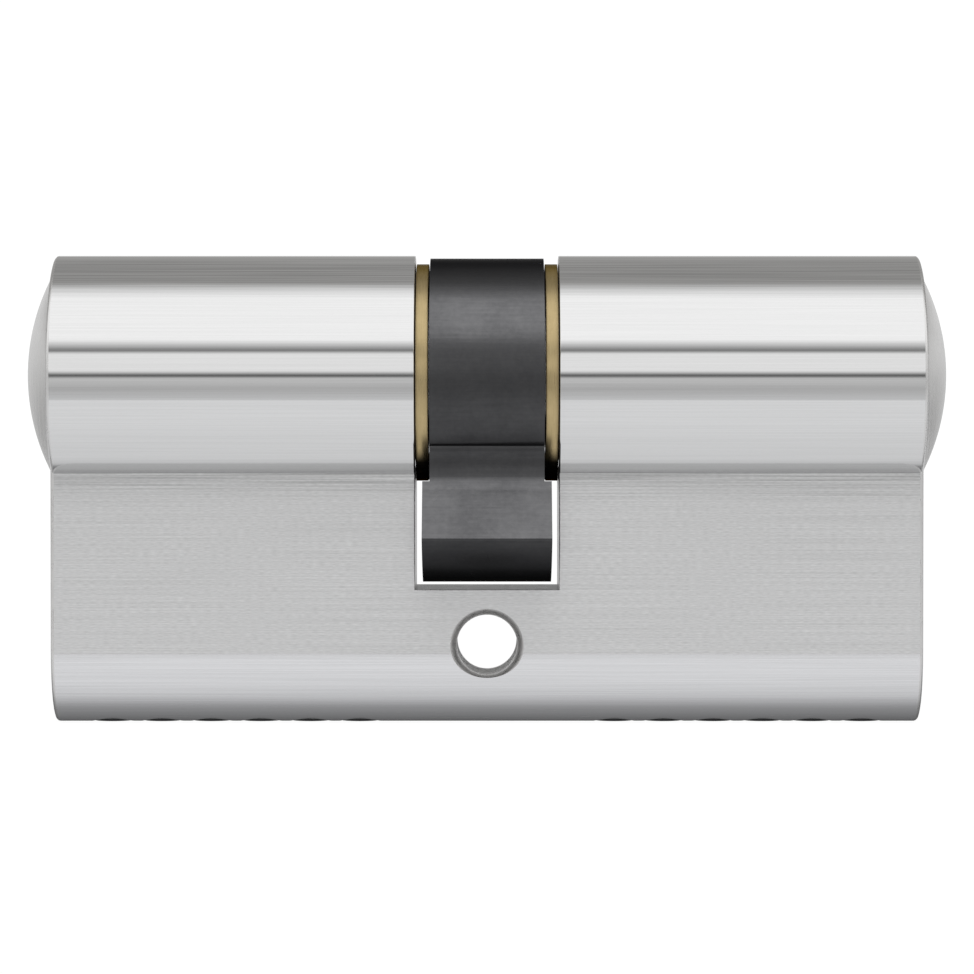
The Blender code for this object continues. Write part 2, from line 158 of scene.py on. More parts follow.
def block(low, high):
    """A box between two corners."""
    (x0, y0, z0), (x1, y1, z1) = low, high
    return milled([(y0, z0), (y1, z0), (y1, z1), (y0, z1)], x0, x1)


def moved(bm, *steps):
    """Turn or shift a bmesh, one matrix after another."""
    for step in steps:
        bmesh.ops.transform(bm, matrix=step, verts=bm.verts[:])
    return bm


def along(x):
    """A shift along the barrel."""
    return Matrix.Translation((x, 0, 0))


# %% Cutting and softening
def mesh_of(bm, name="solid"):
    """Close a bmesh into a mesh."""
    mesh = bpy.data.meshes.new(name)
    bm.to_mesh(mesh)
    bm.free()
    return mesh


def gathered(parts):
    """Several separate solids in one bmesh."""
    whole = bmesh.new()
    for part in parts:
        mesh = mesh_of(part)
        whole.from_mesh(mesh)
        bpy.data.meshes.remove(mesh)
    return whole


def carved(bm, tool, operation='DIFFERENCE'):
    """Subtract a tool from a solid, or join it on, and hand back the result as a bmesh."""
    body, cutter = [bpy.data.objects.new(name, mesh_of(shape, name))
                    for name, shape in (("work", bm), ("tool", tool))]
    for item in (body, cutter):
        bpy.context.scene.collection.objects.link(item)
    step = body.modifiers.new("cut", 'BOOLEAN')
    step.operation, step.solver, step.object = operation, 'EXACT', cutter
    bpy.context.view_layer.update()
    depsgraph = bpy.context.evaluated_depsgraph_get()
    mesh = bpy.data.meshes.new_from_object(body.evaluated_get(depsgraph))
    result = bmesh.new()
    result.from_mesh(mesh)
    for item in (body, cutter):
        bpy.data.objects.remove(item)
    bpy.data.meshes.remove(mesh)
    return result


def soften(bm, width, segments=2, where=lambda middle: True, angle=30):
    """Break the outward edges that are sharper than an angle, with a small round bevel."""
    edges = [edge for edge in bm.edges
             if edge.is_manifold and edge.is_convex and edge.calc_face_angle(0) > math.radians(angle)
             and where((edge.verts[0].co + edge.verts[1].co) / 2)]
    bmesh.ops.bevel(bm, geom=edges, offset=width, offset_type='OFFSET', segments=segments, profile=0.5,
                    affect='EDGES', clamp_overlap=True, material=-1)
    return bm


# %% [markdown]
# ## Setting a piece in its place
#
# A finished piece keeps its object at the origin, and its place is in its mesh. Smooth shading on a
# bevelled machined part smears across its big flats, so each piece gets a Weighted Normal modifier:
# the big faces decide the shading, and the bevels carry the turn.

# %% Finish, place and attach
SHARP_ANGLE = 38.0


def finished(bm, node, finishes, x=0.0, about=False):
    """Stand a millimetre bmesh in its place, with its finishes, on the body of the node it stands for."""
    bmesh.ops.remove_doubles(bm, verts=bm.verts[:], dist=SAME_POINT)
    bmesh.ops.recalc_face_normals(bm, faces=bm.faces[:])
    spot = Matrix.Translation((x * MM, 0, AXIS_HEIGHT)) @ Matrix.Rotation(math.pi if about else 0, 4, 'Z')
    moved(bm, spot @ Matrix.Scale(MM, 4))
    mesh = mesh_of(bm, node + "_finished")
    mesh.shade_smooth()
    mesh.set_sharp_from_angle(angle=math.radians(SHARP_ANGLE))
    for finish in finishes:
        mesh.materials.append(finish)
    piece = bpy.data.objects.new(node + "_finished", mesh)
    bpy.context.scene.collection.objects.link(piece)
    shading = piece.modifiers.new("even_shading", 'WEIGHTED_NORMAL')
    shading.keep_sharp = True
    shading.weight = 80
    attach(piece, BODY_OF[node])
    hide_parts(node)
    return piece


# %% [markdown]
# ## Metal from nodes
#
# Bare metal shows its tool marks more than its colour. A noise squeezed across the marks and drawn
# out along them gives the lines; the same noise shifts the colour a little, the roughness a little
# and the surface height a very little. Brushed metal also blurs a reflection across its lines and
# not along them, which is what the shader's anisotropy is for.

# %% Node helpers
def add(tree, kind, **parts):
    """Add a node. A name in capitals is a socket, _0 is a socket's number, the rest are settings."""
    node = tree.nodes.new("ShaderNode" + kind)
    for name, part in parts.items():
        if name[0].isupper() or name[0] == "_":
            socket = node.inputs[int(name[1:]) if name[0] == "_" else name.replace("_", " ")]
            if isinstance(part, bpy.types.NodeSocket):
                tree.links.new(part, socket)
            else:
                socket.default_value = part
        else:
            setattr(node, name, part)
    return node


def new_finish(name, colour, roughness, metallic=1.0, anisotropic=0.0):
    """A Principled material, with its tree and its shader."""
    material = bpy.data.materials.new(name)
    material.use_nodes = True
    shader = material.node_tree.nodes["Principled BSDF"]
    shader.inputs["Base Color"].default_value = (*colour, 1)
    shader.inputs["Roughness"].default_value = roughness
    shader.inputs["Metallic"].default_value = metallic
    shader.inputs["Anisotropic"].default_value = anisotropic
    return material, material.node_tree, shader


def grain(tree, stretch, detail=3.0, rough=0.6, distortion=0.0):
    """Noise on the piece's own coordinates: stretch is how many cells it has in a metre, each way."""
    place = add(tree, "TexCoord").outputs["Object"]
    mapped = add(tree, "Mapping", Vector=place, Scale=stretch).outputs["Vector"]
    noise = add(tree, "TexNoise", Vector=mapped, Scale=1.0, Detail=detail, Roughness=rough,
                Distortion=distortion)
    return noise.outputs["Fac"]


def ranged(tree, value, low, high, from_low=0.3, from_high=0.7):
    """Bring a value from one range into another."""
    return add(tree, "MapRange", Value=value, _1=from_low, _2=from_high, _3=low, _4=high).outputs["Result"]


def mixed(tree, value, first, second):
    """Two colours, or sockets that carry one, mixed by a value from 0 to 1."""
    return add(tree, "Mix", data_type='RGBA', _0=value, _6=first, _7=second).outputs[2]


def tinted(tree, value, dark, light):
    """A colour between two, picked by a value from 0 to 1."""
    return mixed(tree, value, (*dark, 1), (*light, 1))


def combined(tree, operation, first, second):
    """Two values through one sum."""
    return add(tree, "Math", operation=operation, _0=first, _1=second).outputs["Value"]


def bumped(tree, shader, height, distance, strength=1.0):
    """Let a height tilt the surface."""
    bump = add(tree, "Bump", Height=height, Distance=distance, Strength=strength)
    tree.links.new(bump.outputs["Normal"], shader.inputs["Normal"])


def brushed_along_x(tree, shader):
    """Blur reflections round the barrel and not along it: the tangent runs across the lines."""
    normal = add(tree, "NewGeometry").outputs["Normal"]
    across = add(tree, "VectorMath", operation='CROSS_PRODUCT', _0=normal, _1=(1, 0, 0))
    tree.links.new(across.outputs["Vector"], shader.inputs["Tangent"])


# %% [markdown]
# ## Nickel on the housing
#
# The housing is drawn brass, nickel plated. Its barrel is ground fine and nearly mirrors a lamp
# lengthwise, and its lines are painted darker towards its top; the flats of the web are brushed
# coarser, with their lines painted darker next to the barrel as painted shade under it; the rounded
# foot is smoother again. So there are three finishes of one nickel, and two more for what a cutter
# left: one for the slot's walls, the ends and the bores, and a darker, duller one for the slot's floor.

# %% Nickel finishes
LINE_LENGTH = 280
FLECK_LENGTH = 8
# The grey that lines are painted towards in a band of height: painted shade on the web under the barrel.
DARKENED_GREY = (0.1, 0.1, 0.1, 1)


def nickel(name, roughness, anisotropic, lines, depth, contrast, flecks=0.15, colour=(0.64, 0.64, 0.64),
           darkened_band=None):
    """Nickel with lines along X: lines is how many there are in a metre, depth is in metres.

    A line is LINE_LENGTH times as long as it is wide, and a fleck FLECK_LENGTH times. Flecks is the
    share of short marks among the long lines. The last argument is how much darker the lines are
    painted over a band of height, and the two heights that painted darkening grows between.
    """
    material, tree, shader = new_finish(name, colour, roughness, anisotropic=anisotropic)
    drawn = grain(tree, (lines / LINE_LENGTH, lines, lines), 2, 0.5)
    short = grain(tree, (lines / FLECK_LENGTH, lines, lines), 2, 0.5)
    both = combined(tree, 'ADD', combined(tree, 'MULTIPLY', drawn, 1 - flecks),
                    combined(tree, 'MULTIPLY', short, flecks))
    shade = ranged(tree, both, 0, 1, 0.35, 0.65)
    dark = [c * (1 - contrast) for c in colour]
    tone = tinted(tree, shade, dark, colour)
    # Painted darkening over a band of height, laid through the lines: painted shade on the web under the
    # barrel, and darker lines towards the barrel's top.
    if darkened_band:
        height = add(tree, "SeparateXYZ", Vector=add(tree, "TexCoord").outputs["Object"]).outputs["Z"]
        strength, begins, ends = darkened_band
        line_darkening = ranged(tree, drawn, strength, strength * 0.1, 0.38, 0.6)
        strip = combined(tree, 'MULTIPLY', ranged(tree, height, 0, 1, begins, ends), line_darkening)
        tone = mixed(tree, strip, tone, DARKENED_GREY)
    tree.links.new(tone, shader.inputs["Base Color"])
    tree.links.new(ranged(tree, both, roughness * 1.15, roughness * 0.85), shader.inputs["Roughness"])
    bumped(tree, shader, both, depth)
    brushed_along_x(tree, shader)
    return material


# The barrel's lines are painted darker towards its top, from 24.0 mm up.
GROUND_NICKEL = nickel("nickel_ground_barrel", 0.055, 0.3, 16000, 0.0000002, 0.055,
                       darkened_band=(0.36, 0.0240, 0.0262))
# Painted shade: the web's lines are painted darker just under the barrel, from 10.0 mm up to 12.2 mm.
BRUSHED_NICKEL = nickel("nickel_brushed_web", 0.42, 0.8, 17000, 0.0000022, 0.22, flecks=0.55,
                        colour=(0.655, 0.655, 0.655), darkened_band=(0.44, 0.0100, 0.0122))
FOOT_NICKEL = nickel("nickel_rounded_foot", 0.24, 0.6, 17000, 0.0000007, 0.09, colour=(0.705, 0.705, 0.715))


def cut_nickel(name, dark, light, edge):
    """Plated over a cutter's marks, with a fine cloudy grain. Edge is how much a glancing look sees."""
    material, tree, shader = new_finish(name, light, 0.3)
    cloud = grain(tree, (2500, 2500, 900), 4, 0.6)
    tree.links.new(tinted(tree, cloud, dark, light), shader.inputs["Base Color"])
    tree.links.new(ranged(tree, cloud, 0.24, 0.36), shader.inputs["Roughness"])
    shader.inputs["Specular Tint"].default_value = (edge, edge, edge, 1)
    bumped(tree, shader, cloud, 0.000003)
    return material


CUT_NICKEL = cut_nickel("nickel_cut_faces", (0.54, 0.535, 0.53), (0.64, 0.635, 0.63), 1.0)
DULL_NICKEL = cut_nickel("nickel_dull_floor", (0.28, 0.278, 0.275), (0.38, 0.378, 0.375), 0.45)
HOUSING_FINISHES = [GROUND_NICKEL, BRUSHED_NICKEL, FOOT_NICKEL, CUT_NICKEL, DULL_NICKEL]
print("housing finishes:", [finish.name for finish in HOUSING_FINISHES])

# %% [markdown]
# ## The housing
#
# Its section is a keyhole: a round barrel over a web whose foot is a half round. The section is
# extruded once, its end edges are rounded, and then the slot and the bore for the plugs are cut and
# their rims broken. The chambers and the screw hole come last, because they cross everything.

# %% Section, slot and bore
SLOT_FACE = 5.05
SLOT_DEPTH = 15.0
PLUG_RADIUS = 6.5
HEAD_RADIUS = 7.5
HEAD_DEPTH = 1.45
TURNING_GAP = 0.05
LOOSE_GAP = 0.1
END_BREAK = 0.25
SMALL_BREAK = 0.07

joint_angle = math.degrees(math.asin(HALF_WEB / BARREL_RADIUS))
keyhole = (arc((0, 0), BARREL_RADIUS, joint_angle, 360 - joint_angle, 150)
           + arc((0, ROUND_CENTRE), HALF_WEB, -90, 90, 60))
housing = soften(milled(keyhole, -HALF_LENGTH, HALF_LENGTH), END_BREAK, 3,
                 lambda middle: abs(middle.x) > HALF_LENGTH - SAME_POINT)

reach = BARREL_RADIUS + BEYOND
housing = carved(housing, block((-SLOT_FACE, -reach, -SLOT_DEPTH), (SLOT_FACE, reach, reach)))

seat = HALF_LENGTH - HEAD_DEPTH - TURNING_GAP
head_bore, plug_bore = HEAD_RADIUS + LOOSE_GAP, PLUG_RADIUS + TURNING_GAP
far = HALF_LENGTH + BEYOND
housing = carved(housing, turned([(-far, 0), (-far, head_bore), (-seat, head_bore), (-seat, plug_bore),
                                  (seat, plug_bore), (seat, head_bore), (far, head_bore), (far, 0)], 144))


def on_a_rim(middle):
    """The mouths of the slot and of the two head bores."""
    at_slot = abs(middle.x) < SLOT_FACE + SAME_POINT
    at_end = abs(middle.x) > HALF_LENGTH - SAME_POINT
    in_bore = math.hypot(middle.y, middle.z) < head_bore + SAME_POINT
    return at_slot or (at_end and in_bore)


housing = soften(housing, SMALL_BREAK, 2, on_a_rim)
print("housing blank:", len(housing.faces), "faces")

# %% [markdown]
# The six chambers on each side are drilled up from the foot, wide enough at the bottom for the plug
# that closes them. The fixing screw is an M5, so the hole through the web is cut with a countersink
# at each mouth and then threaded: a triangle is spun round the hole while it moves along it, and
# that coil is subtracted like any other tool.

# %% Chambers and the threaded hole
PIN_COUNT = 6
PIN_PITCH = 3.5
CHAMBER_RADIUS = 1.42
CHAMBER_STEP = 0.4
FACET_STEPS = 32
chamber_plug_low, chamber_plug_high = around_axis("inner_chamber_plug_1")
CHAMBER_PLUG_RADIUS = (chamber_plug_high.x - chamber_plug_low.x) / 2
outermost = (chamber_plug_high.x + chamber_plug_low.x) / 2
CHAMBER_X = [outermost - PIN_PITCH * i for i in range(PIN_COUNT)]
shelf = chamber_plug_high.z + TURNING_GAP
wide = CHAMBER_PLUG_RADIUS + TURNING_GAP

chambers = [moved(turned([(WEB_BOTTOM - BEYOND, 0), (WEB_BOTTOM - BEYOND, wide), (shelf, wide),
                          (shelf + CHAMBER_STEP, CHAMBER_RADIUS), (-PLUG_RADIUS / 2, CHAMBER_RADIUS),
                          (-PLUG_RADIUS / 2, 0)], FACET_STEPS), UPRIGHT, along(side * x))
            for x in CHAMBER_X for side in (-1, 1)]
housing = carved(housing, gathered(chambers))

THREAD_MINOR = 2.12
THREAD_MAJOR = 2.5
THREAD_PITCH = 0.8
MOUTH_RADIUS = 2.58
MOUTH_DEPTH = 0.3
THROAT_RADIUS = 2.27
THROAT_DEPTH = 0.8
THREAD_START = 1.4
to_screw = Matrix.Translation((0, 0, -AXIS_HEIGHT / MM)) @ CROSSWISE
half = [(HALF_WEB + BEYOND, MOUTH_RADIUS + BEYOND), (HALF_WEB - MOUTH_DEPTH, THROAT_RADIUS),
        (HALF_WEB - THROAT_DEPTH, THREAD_MINOR)]
drill = [(HALF_WEB + BEYOND, 0)] + half + [(-a, r) for a, r in half[::-1]] + [(-HALF_WEB - BEYOND, 0)]
housing = carved(housing, moved(turned(drill, 96), to_screw))


def thread_tap(start, end, steps=40):
    """A coil of a V section, as long as the thread."""
    bm = bmesh.new()
    root = THREAD_PITCH * 0.42
    corners = ((-root, THREAD_MINOR - 0.08), (root, THREAD_MINOR - 0.08), (0.04, THREAD_MAJOR - 0.1),
               (-0.04, THREAD_MAJOR - 0.1))
    section = bm.faces.new([bm.verts.new((start + a, 0, r)) for a, r in corners])
    turns = round((end - start) / THREAD_PITCH)
    bmesh.ops.spin(bm, geom=[section], cent=(0, 0, 0), axis=(1, 0, 0), angle=math.tau * turns,
                   steps=steps * turns, dvec=(THREAD_PITCH / steps, 0, 0))
    bmesh.ops.recalc_face_normals(bm, faces=bm.faces[:])
    return bm


housing = carved(housing, moved(thread_tap(THREAD_START - HALF_WEB, HALF_WEB - THREAD_START), to_screw))
print("housing cut:", len(housing.faces), "faces")

# %% [markdown]
# Each face of the housing takes the finish of the tool that made it last, and its place says which:
# in the screw hole or on the slot's floor, on the barrel's radius, on a flat of the web, on the half
# round of the foot, or none of these.

# %% Give each face its finish
NEAR = 0.03


def skin_of(face):
    """The number of the finish that belongs on a face of the housing."""
    points = [vert.co for vert in face.verts]
    if all(abs(p.x) > HALF_LENGTH - END_BREAK / 2 for p in points):
        return 3
    if all(math.hypot(p.x, p.z + AXIS_HEIGHT / MM) < MOUTH_RADIUS + NEAR for p in points):
        return 3
    if all(abs(p.z + SLOT_DEPTH) < NEAR and abs(p.x) < SLOT_FACE + NEAR for p in points):
        return 4
    if all(abs(math.hypot(p.y, p.z) - BARREL_RADIUS) < NEAR for p in points):
        return 0
    if all(abs(abs(p.y) - HALF_WEB) < NEAR and p.z > ROUND_CENTRE - NEAR for p in points):
        return 1
    if all(abs(math.hypot(p.y, p.z - ROUND_CENTRE) - HALF_WEB) < NEAR for p in points):
        return 2
    return 3


for face in housing.faces:
    face.material_index = skin_of(face)
counts = [sum(face.material_index == i for face in housing.faces) for i in range(len(HOUSING_FINISHES))]
finished(housing, "housing", HOUSING_FINISHES)
print("faces by finish:", counts)

# %% [markdown]
# ## The plugs
#
# A plug is turned: a domed head, a long body, a groove for its clip and a nose that reaches into the
# cam. Its face carries the faint rings of the lathe. The keyway is milled from the face right
# through, with sides that step over and back so that only its own key goes in, and with a flared
# mouth that leads the key's tip in.

# %% Turned nickel
def turned_nickel():
    """Rings round the axis: the noise is read at a point's distance from the axis, and along it."""
    material, tree, shader = new_finish("nickel_turned_plug", (0.66, 0.655, 0.645), 0.26)
    place = add(tree, "TexCoord").outputs["Object"]
    local = add(tree, "VectorMath", operation='SUBTRACT', _0=place, _1=(0, 0, AXIS_HEIGHT)).outputs["Vector"]
    parts = add(tree, "SeparateXYZ", Vector=local)
    flat = add(tree, "CombineXYZ", Y=parts.outputs["Y"], Z=parts.outputs["Z"]).outputs["Vector"]
    radius = add(tree, "VectorMath", operation='LENGTH', _0=flat).outputs["Value"]
    ring = add(tree, "CombineXYZ", X=radius, Y=parts.outputs["X"]).outputs["Vector"]
    spread = add(tree, "Mapping", Vector=ring, Scale=(7000, 7000, 1)).outputs["Vector"]
    rings = add(tree, "TexNoise", Vector=spread, Scale=1.0, Detail=3.0).outputs["Fac"]
    cloud = grain(tree, (400, 400, 400), 3)
    shade = ranged(tree, combined(tree, 'MULTIPLY', rings, cloud), 0, 1, 0.12, 0.38)
    tree.links.new(tinted(tree, shade, (0.61, 0.605, 0.6), (0.69, 0.685, 0.68)), shader.inputs["Base Color"])
    tree.links.new(ranged(tree, rings, 0.2, 0.32), shader.inputs["Roughness"])
    bumped(tree, shader, rings, 0.0000012)
    return material


TURNED_NICKEL = turned_nickel()

# %% The plug's sizes and its half section
DOME_HEIGHT = 2.0
NOSE_RADIUS = 5.0
NOSE_TIP = 1.8
NOSE_ROOT = 3.3
CLIP_GROOVE_RADIUS = 5.5
KEY_PIN_CEILING = 1.2
TONGUE_HALF = 1.0
TONGUE_SLOT_END = 3.1
PLUG_BREAK = 0.09
clip_low, clip_high = around_axis("inner_clip")
HEAD_FACE = HALF_LENGTH - HEAD_DEPTH


def plug_section():
    """Half section from the nose to the top of the dome; its arrises are rounded after it is spun."""
    dome = (HEAD_RADIUS ** 2 + DOME_HEIGHT ** 2) / (2 * DOME_HEIGHT)
    sweep = math.asin(HEAD_RADIUS / dome)
    centre = HALF_LENGTH + DOME_HEIGHT - dome
    steps = 24
    angles = [sweep * (1 - i / steps) for i in range(steps + 1)]
    crown = [(centre + dome * math.cos(a), dome * math.sin(a)) for a in angles]
    groove = (clip_low.x - TURNING_GAP, clip_high.x + TURNING_GAP)
    return [(NOSE_TIP, 0), (NOSE_TIP, NOSE_RADIUS), (NOSE_ROOT, NOSE_RADIUS), (NOSE_ROOT, PLUG_RADIUS),
            (groove[0], PLUG_RADIUS), (groove[0], CLIP_GROOVE_RADIUS), (groove[1], CLIP_GROOVE_RADIUS),
            (groove[1], PLUG_RADIUS), (HEAD_FACE, PLUG_RADIUS), (HEAD_FACE, HEAD_RADIUS), *crown]


# %% Keyway, chambers and the slot for the clutch
KEYWAY_HALF = 1.0
KEYWAY_TOP = 3.9
KEYWAY_BOTTOM = -4.6
KEYWAY_WARD = 0.42
# Height up the keyway as a share of it, and the side that its middle steps over to there
KEYWAY_LEVELS = ((0.0, 1), (0.24, 1), (0.33, -1), (0.56, -1), (0.65, 1), (1.0, 1))
FLARE_DEPTH = 1.0
FLARE_SCALE = (1.45, 1.09)


def keyway_tool():
    """The warded slot as a solid, which widens where it leaves the face."""
    height = KEYWAY_TOP - KEYWAY_BOTTOM
    middle = [(KEYWAY_WARD * way, KEYWAY_BOTTOM + height * share) for share, way in KEYWAY_LEVELS]
    right = [(y + KEYWAY_HALF, z) for y, z in middle]
    left = [(y - KEYWAY_HALF, z) for y, z in middle]
    mouth = HALF_LENGTH + DOME_HEIGHT - FLARE_DEPTH
    bm = milled(right + left[::-1], NOSE_TIP - BEYOND, mouth)
    end = [face for face in bm.faces if face.calc_center_median().x > mouth - SAME_POINT]
    grown = bmesh.ops.extrude_face_region(bm, geom=end)
    rim = [item for item in grown["geom"] if isinstance(item, bmesh.types.BMVert)]
    bmesh.ops.delete(bm, geom=end, context='FACES_ONLY')
    bmesh.ops.scale(bm, vec=(1, *FLARE_SCALE), verts=rim)
    bmesh.ops.translate(bm, vec=(2 * FLARE_DEPTH, 0, 0), verts=rim)
    bmesh.ops.recalc_face_normals(bm, faces=bm.faces[:])
    return bm


def plug():
    """One plug, with its head towards +X."""
    bm = soften(turned(plug_section(), 128), PLUG_BREAK, 2)
    bm = carved(bm, keyway_tool())
    half_slot = TONGUE_HALF + LOOSE_GAP
    bm = carved(bm, block((NOSE_TIP - BEYOND, -half_slot, -PLUG_RADIUS),
                          (TONGUE_SLOT_END, half_slot, PLUG_RADIUS)))
    drills = [moved(turned([(-PLUG_RADIUS - BEYOND, 0), (-PLUG_RADIUS - BEYOND, CHAMBER_RADIUS),
                            (KEY_PIN_CEILING, CHAMBER_RADIUS), (KEY_PIN_CEILING, 0)], FACET_STEPS),
                    UPRIGHT, along(x)) for x in CHAMBER_X]
    return carved(bm, gathered(drills))


for side in ("outer", "inner"):
    made = finished(plug(), side + "_plug", [TURNED_NICKEL], about=side == "outer")
    print(made.name, len(made.data.polygons), "faces")

# %% [markdown]
# ## The clips
#
# Each plug is held in by an open ring of sprung bronze, snapped into the groove beside the cam. Its
# section is spun most of the way round, and its edges are rolled a little. Stamped strip keeps the
# marks of the roll that flattened it, which run round the ring.

# %% Brass strip
# Heights in metres over which the ring fades to near black below: painted shade, the dark it mirrors from the
# lug and slot.
PAINTED_SHADE_HEIGHTS = (0.0128, 0.0138)


def strip_brass():
    """A warm brass-coloured metal, browner in its pits, rubbed round the ring, and painted black below as
    shade.
    """
    material, tree, shader = new_finish("clip_brass_strip", (0.43, 0.335, 0.18), 0.34)
    lines = grain(tree, (16000, 900, 900), 3, 0.6)
    stain = grain(tree, (900, 700, 700), 3, 0.6)
    height = add(tree, "SeparateXYZ", Vector=add(tree, "TexCoord").outputs["Object"]).outputs["Z"]
    # Painted shade: the ring is coloured near black below the lower height.
    painted_shade_below = ranged(tree, height, 1, 0, *PAINTED_SHADE_HEIGHTS)
    shade = ranged(tree, combined(tree, 'ADD', combined(tree, 'MULTIPLY', lines, 0.5),
                                  combined(tree, 'MULTIPLY', stain, 0.5)), 0, 1, 0.38, 0.62)
    brass = tinted(tree, shade, (0.39, 0.305, 0.16), (0.46, 0.36, 0.195))
    tree.links.new(mixed(tree, painted_shade_below, brass, (0.030, 0.025, 0.018, 1)), shader.inputs["Base Color"])
    tree.links.new(ranged(tree, lines, 0.26, 0.34), shader.inputs["Roughness"])
    shader.inputs["Specular Tint"].default_value = (0.32, 0.28, 0.2, 1)
    bumped(tree, shader, lines, 0.0000008)
    return material


STRIP_BRASS = strip_brass()
CLIP_OPENING = 40.0
CLIP_BREAK = 0.03
clip_inner = CLIP_GROOVE_RADIUS + LOOSE_GAP
clip_outer = clip_high.z


def clip():
    """The ring's section, swung round from one end of its opening to the other."""
    bm = bmesh.new()
    corners = ((clip_low.x, clip_inner), (clip_high.x, clip_inner), (clip_high.x, clip_outer),
               (clip_low.x, clip_outer))
    section = bm.faces.new([bm.verts.new((x, 0, -radius)) for x, radius in corners])
    moved(bm, Matrix.Rotation(math.radians(CLIP_OPENING / 2), 4, 'X'))
    bmesh.ops.spin(bm, geom=[section], cent=(0, 0, 0), axis=(1, 0, 0),
                   angle=math.radians(360 - CLIP_OPENING), steps=112)
    bmesh.ops.recalc_face_normals(bm, faces=bm.faces[:])
    return soften(bm, CLIP_BREAK, 2)


for side in ("outer", "inner"):
    made = finished(clip(), side + "_clip", [STRIP_BRASS], about=side == "outer")
    print(made.name, len(made.data.polygons), "faces")

# %% [markdown]
# ## The cam
#
# The cam is pressed from iron powder and blackened in hot oil. It is a ring over the two plug noses
# with one lug, which hangs down but leans a third of a right angle towards the front when the key is
# out. Its flanks are hollow where they meet the ring, and the ring is narrower than the lug.

# %% Blackened iron
def black_iron():
    """Black oxide: a dark metal with a dusty grain, and rubbed lines along the barrel."""
    material, tree, shader = new_finish("cam_black_oxide", (0.06, 0.06, 0.062), 0.3, anisotropic=0.3)
    lines = grain(tree, (260, 5200, 5200), 4, 0.65)
    dust = grain(tree, (2600, 2600, 2600), 4, 0.6)
    cloud = grain(tree, (330, 260, 260), 3, 0.55)
    shade = combined(tree, 'ADD', combined(tree, 'MULTIPLY', lines, 0.25),
                     combined(tree, 'ADD', combined(tree, 'MULTIPLY', dust, 0.3),
                              combined(tree, 'MULTIPLY', cloud, 0.45)))
    tone = ranged(tree, shade, 0, 1, 0.38, 0.62)
    black = tinted(tree, tone, (0.05, 0.05, 0.052), (0.066, 0.066, 0.068))
    tree.links.new(black, shader.inputs["Base Color"])
    tree.links.new(ranged(tree, shade, 0.36, 0.26), shader.inputs["Roughness"])
    bumped(tree, shader, combined(tree, 'ADD', lines, dust), 0.0000018)
    brushed_along_x(tree, shader)
    shader.inputs["Specular Tint"].default_value = (0.3, 0.3, 0.3, 1)
    return material


BLACK_IRON = black_iron()

# %% The cam's outline and its cuts
CAM_TILT = 26.0
CAM_RADIUS = 8.3
CAM_FACE = 4.0
LUG_FACE = 4.5
LUG_TIP_RADIUS = 14.85
LUG_TIP_ANGLE = 14.0
LUG_CORNER = 0.12
LUG_NECK = (10.67, 14.9)
LUG_ROOT_ANGLE = 28.4
LUG_SHOULDER_RADIUS = 9.9
CREASE = 0.14
EAR_HALF = 1.2
EAR_REACH = 1.05
IRON_BREAK = 0.08
TILT = Matrix.Rotation(math.radians(-CAM_TILT), 4, 'X')
CLUTCH_RADIUS = NOSE_RADIUS - LOOSE_GAP


def cam_outline():
    """Ring and lug seen along the axis, the lug straight down, with a hollow arc on each flank."""
    corner = math.degrees(LUG_CORNER / LUG_TIP_RADIUS)
    tip = arc((0, 0), LUG_TIP_RADIUS, -LUG_TIP_ANGLE + corner, LUG_TIP_ANGLE - corner, 20)
    low = polar(LUG_TIP_RADIUS - LUG_CORNER, LUG_TIP_ANGLE)
    neck, root = polar(*LUG_NECK), polar(CAM_RADIUS, LUG_ROOT_ANGLE)
    slopes = [math.atan2(b[1] - a[1], b[0] - a[0]) for a, b in ((low, neck), (neck, root))]
    half_turn = slopes[1] - slopes[0]
    radius = math.dist(neck, root) / (2 * abs(math.sin(half_turn)))
    flank, steps = [low], 16
    for i in range(steps + 1):
        turn = half_turn * i / steps
        length = 2 * radius * abs(math.sin(turn))
        y, z = neck[0] + length * math.cos(slopes[0] + turn), neck[1] + length * math.sin(slopes[0] + turn)
        deeper = 1 - CREASE / math.hypot(y, z) if i == steps - 1 else 1
        flank.append((y * deeper, z * deeper))
    ring = arc((0, 0), CAM_RADIUS, LUG_ROOT_ANGLE, 360 - LUG_ROOT_ANGLE, 160)
    return tip + flank + ring[1:-1] + [(-y, z) for y, z in flank[::-1]]


def cam():
    """The blank with its sides relieved, then the clutch ways and the bore."""
    bm = moved(milled(cam_outline(), -LUG_FACE, LUG_FACE), TILT)
    out = LUG_FACE + BEYOND
    reliefs = [turned([(low, 0), (low, LUG_SHOULDER_RADIUS), (high, LUG_SHOULDER_RADIUS), (high, 0)], 144)
               for low, high in ((-out, -CAM_FACE), (CAM_FACE, out))]
    bm = soften(carved(bm, gathered(reliefs)), IRON_BREAK, 2)
    step = NOSE_ROOT - LOOSE_GAP
    reach_out, half_way = CLUTCH_RADIUS + EAR_REACH + LOOSE_GAP, EAR_HALF + LOOSE_GAP
    ways = block((-step - LOOSE_GAP, -reach_out, -half_way), (step + LOOSE_GAP, reach_out, half_way))
    bm = carved(bm, moved(ways, TILT))
    mouth, throat = PLUG_RADIUS + LOOSE_GAP, NOSE_RADIUS + LOOSE_GAP
    return carved(bm, turned([(-out, 0), (-out, mouth), (-step, mouth), (-step, throat),
                              (step, throat), (step, mouth), (out, mouth), (out, 0)], 96))


made = finished(cam(), "cam", [BLACK_IRON])
print(made.name, len(made.data.polygons), "faces")

# %% [markdown]
# ## The clutch
#
# Two small halves sit between the plug noses inside the cam. Their ears always turn with the cam;
# the key pushes them along until the tongue of one enters the plug it is in. They are sintered
# steel, so their finish is a fine even grain with no direction.

